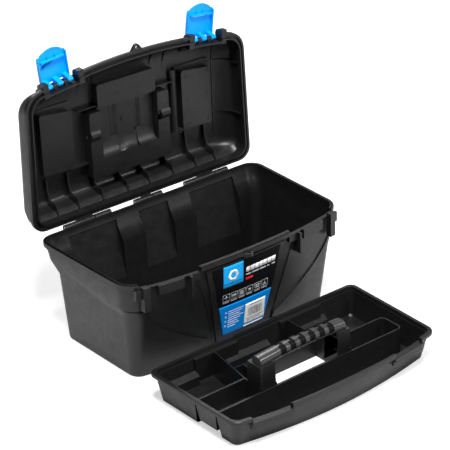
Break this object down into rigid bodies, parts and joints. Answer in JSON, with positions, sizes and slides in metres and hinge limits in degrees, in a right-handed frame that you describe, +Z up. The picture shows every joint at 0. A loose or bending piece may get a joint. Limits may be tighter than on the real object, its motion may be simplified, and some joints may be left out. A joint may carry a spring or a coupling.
{
  "type": "toolbox with tray",
  "caption": "Deep plastic toolbox with an open hinged lid, flip latches, lid organisers, a folding carry handle and a lift-out tote tray.",
  "frame": {"origin": "centre of the tub's base on the ground", "axes": "+X to the right along the tub's front, +Y from the front towards the hinge, +Z up"},
  "size_m": [0.487, 0.6108, 0.5091],
  "materials": {
    "black_plastic": "fine-textured polypropylene, satin",
    "latch_blue": "smooth moulded plastic, semi-gloss",
    "pin_steel": "drawn wire",
    "label_film": "printed film label",
    "grip_plastic": "satin",
    "pad_rubber": "soft touch"
  },
  "bodies": {
    "tub": {"tub": "black_plastic", "front_label": "label_film", "hinge_pin_left": "pin_steel", "hinge_pin_center": "pin_steel", "hinge_pin_right": "pin_steel"},
    "lid": {"lid": "black_plastic", "latch_pin_left": "pin_steel", "latch_pin_right": "pin_steel", "handle_pin_left": "pin_steel", "handle_pin_right": "pin_steel", "organiser_pin_left": "pin_steel", "organiser_pin_right": "pin_steel"},
    "latch_left": {"latch_left": "latch_blue"},
    "latch_right": {"latch_right": "latch_blue"},
    "carry_handle": {"carry_handle": "black_plastic", "carry_handle_grip": "grip_plastic"},
    "organiser_cover_left": {"organiser_cover_left": "black_plastic"},
    "organiser_cover_right": {"organiser_cover_right": "black_plastic"},
    "tray": {"tray": "black_plastic", "tray_handle": "grip_plastic", "tray_handle_pads": "pad_rubber"}
  },
  "joints": [
    {"name": "lid_hinge", "type": "hinge", "parent": "tub", "child": "lid", "pos_m": [0, 0.135, 0.188], "axis": [1, 0, 0], "range_deg": [0, 91]},
    {"name": "latch_left_hinge", "type": "hinge", "parent": "lid", "child": "latch_left", "pos_m": [-0.156, 0.15652, 0.44701], "axis": [0.9942, 0.0019, 0.1077], "range_deg": [0, 88]},
    {"name": "latch_right_hinge", "type": "hinge", "parent": "lid", "child": "latch_right", "pos_m": [0.156, 0.15652, 0.44701], "axis": [0.9942, -0.0019, -0.1077], "range_deg": [0, 88]},
    {"name": "carry_handle_hinge", "type": "hinge", "parent": "lid", "child": "carry_handle", "pos_m": [0, 0.19071, 0.31405], "axis": [1, 0, 0], "range_deg": [0, 90]},
    {"name": "cover_left_hinge", "type": "hinge", "parent": "lid", "child": "organiser_cover_left", "pos_m": [-0.196, 0.19785, 0.32192], "axis": [0, 0.0175, 0.9998], "range_deg": [0, 95]},
    {"name": "cover_right_hinge", "type": "hinge", "parent": "lid", "child": "organiser_cover_right", "pos_m": [0.112, 0.19785, 0.32192], "axis": [0, 0.0175, 0.9998], "range_deg": [0, 95]},
    {"name": "tray_lift", "type": "slide", "parent": "tub", "child": "tray", "axis": [0, 0, 1], "range_m": [0, 0.3]}
  ]
}
